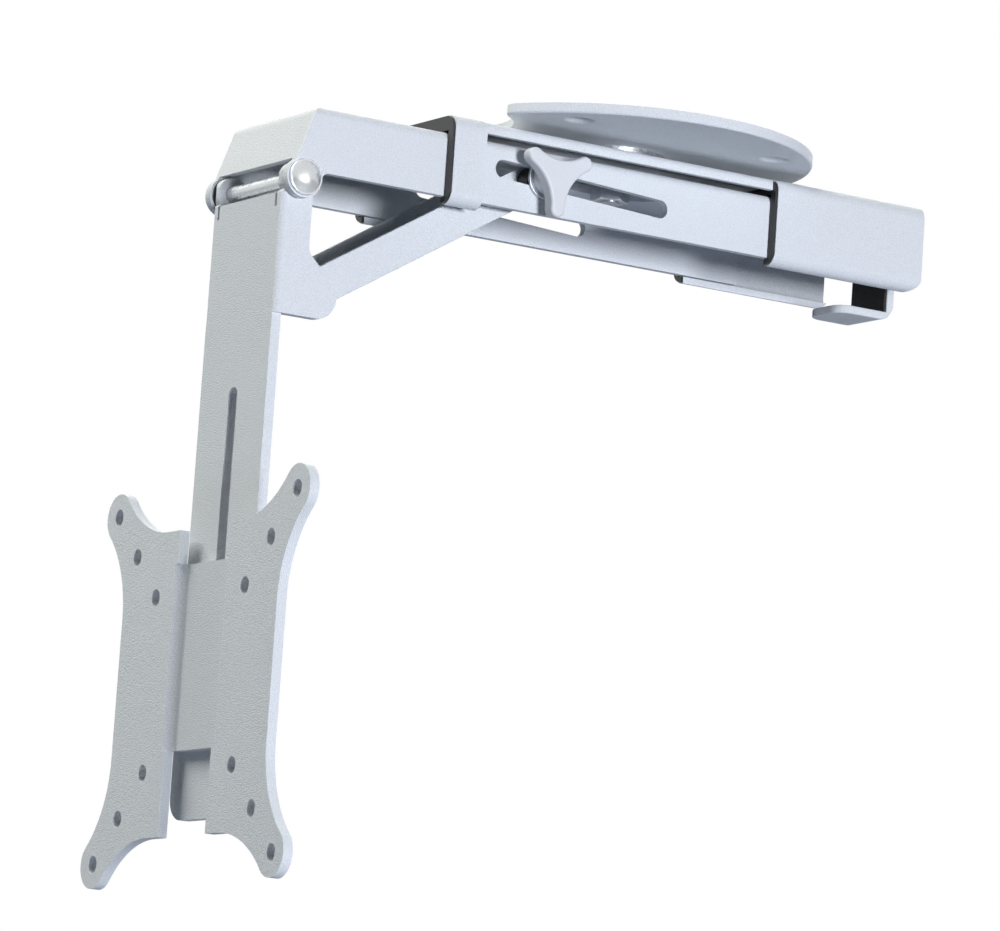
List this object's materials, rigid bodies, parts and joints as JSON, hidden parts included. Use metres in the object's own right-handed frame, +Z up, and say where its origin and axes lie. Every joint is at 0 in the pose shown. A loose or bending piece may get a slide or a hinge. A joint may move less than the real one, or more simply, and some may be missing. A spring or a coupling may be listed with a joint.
{
  "type": "under-cabinet flat-screen mount",
  "caption": "Flip-down flat-screen mount: a round plate under a cabinet carries a swivelling channel, a sliding rail and a folding arm with a screen bracket.",
  "frame": {"origin": "centre of the cabinet plate's top face, on the swivel axis", "axes": "+Z up towards the cabinet, -Y towards the hinge at the rail's front, +X towards the knob"},
  "size_m": [0.118, 0.2269, 0.2309],
  "materials": {
    "powder_coat": "silver-grey textured powder coat",
    "bright_steel": "bright nickel plate",
    "zinc_steel": "bright zinc plate",
    "black_plastic": "black low-friction plastic",
    "black_rubber": "matt black rubber",
    "pale_plastic": "pale grey moulded plastic",
    "brass_insert": "turned"
  },
  "bodies": {
    "cabinet": {"cabinet_plate": "powder_coat", "swivel_bolt": "zinc_steel", "swivel_spacer": "bright_steel", "swivel_friction_washer": "black_plastic", "swivel_washer": "zinc_steel", "swivel_nut": "zinc_steel"},
    "channel": {"outer_channel": "powder_coat", "front_glide": "black_plastic", "rear_glide": "black_plastic", "parking_hook": "powder_coat", "hook_pad": "black_rubber"},
    "rail": {"inner_rail": "powder_coat", "hinge_pin": "bright_steel", "hinge_cap": "bright_steel", "hinge_washers": "bright_steel", "hinge_bushes": "black_plastic"},
    "arm": {"swing_arm": "powder_coat", "strut_rivets": "powder_coat"},
    "lock": {"lock_bolt": "zinc_steel", "lock_spacers": "black_plastic", "lock_washer": "zinc_steel"},
    "knob": {"lock_knob": "pale_plastic", "knob_insert": "brass_insert"},
    "strut": {"strut": "powder_coat"},
    "bracket": {"screen_bracket": "powder_coat", "bracket_studs": "zinc_steel", "clamp_washers": "zinc_steel", "clamp_nuts": "zinc_steel"}
  },
  "joints": [
    {"name": "swivel", "type": "hinge", "parent": "cabinet", "child": "channel", "pos_m": [0, 0, 0], "axis": [0, 0, 1], "continuous": true},
    {"name": "rail_slide", "type": "slide", "parent": "channel", "child": "rail", "axis": [0, 1, 0], "range_m": [-0.004, 0.03]},
    {"name": "arm_fold", "type": "hinge", "parent": "rail", "child": "arm", "pos_m": [0, -0.1172, -0.0319], "axis": [1, 0, 0], "range_deg": [-14, 90.4]},
    {"name": "bracket_height", "type": "slide", "parent": "arm", "child": "bracket", "axis": [0, 0, 1], "range_m": [-0.004, 0.061]},
    {"name": "lock_slide", "type": "slide", "parent": "rail", "child": "lock", "axis": [0, 0.9987, -0.0513], "range_m": [-0.007, 0.04]},
    {"name": "strut_swing", "type": "hinge", "parent": "lock", "child": "strut", "pos_m": [0, -0.03752, -0.01933], "axis": [1, 0, 0], "range_deg": [-31.4, 5]},
    {"name": "knob_turn", "type": "hinge", "parent": "lock", "child": "knob", "pos_m": [0, -0.03752, -0.01933], "axis": [1, 0, 0], "continuous": true}
  ],
  "couplings": [
    {"joint": "lock_slide", "follows": "arm_fold", "m_per_rad": 0.024637},
    {"joint": "strut_swing", "follows": "arm_fold", "ratio": -0.33}
  ]
}
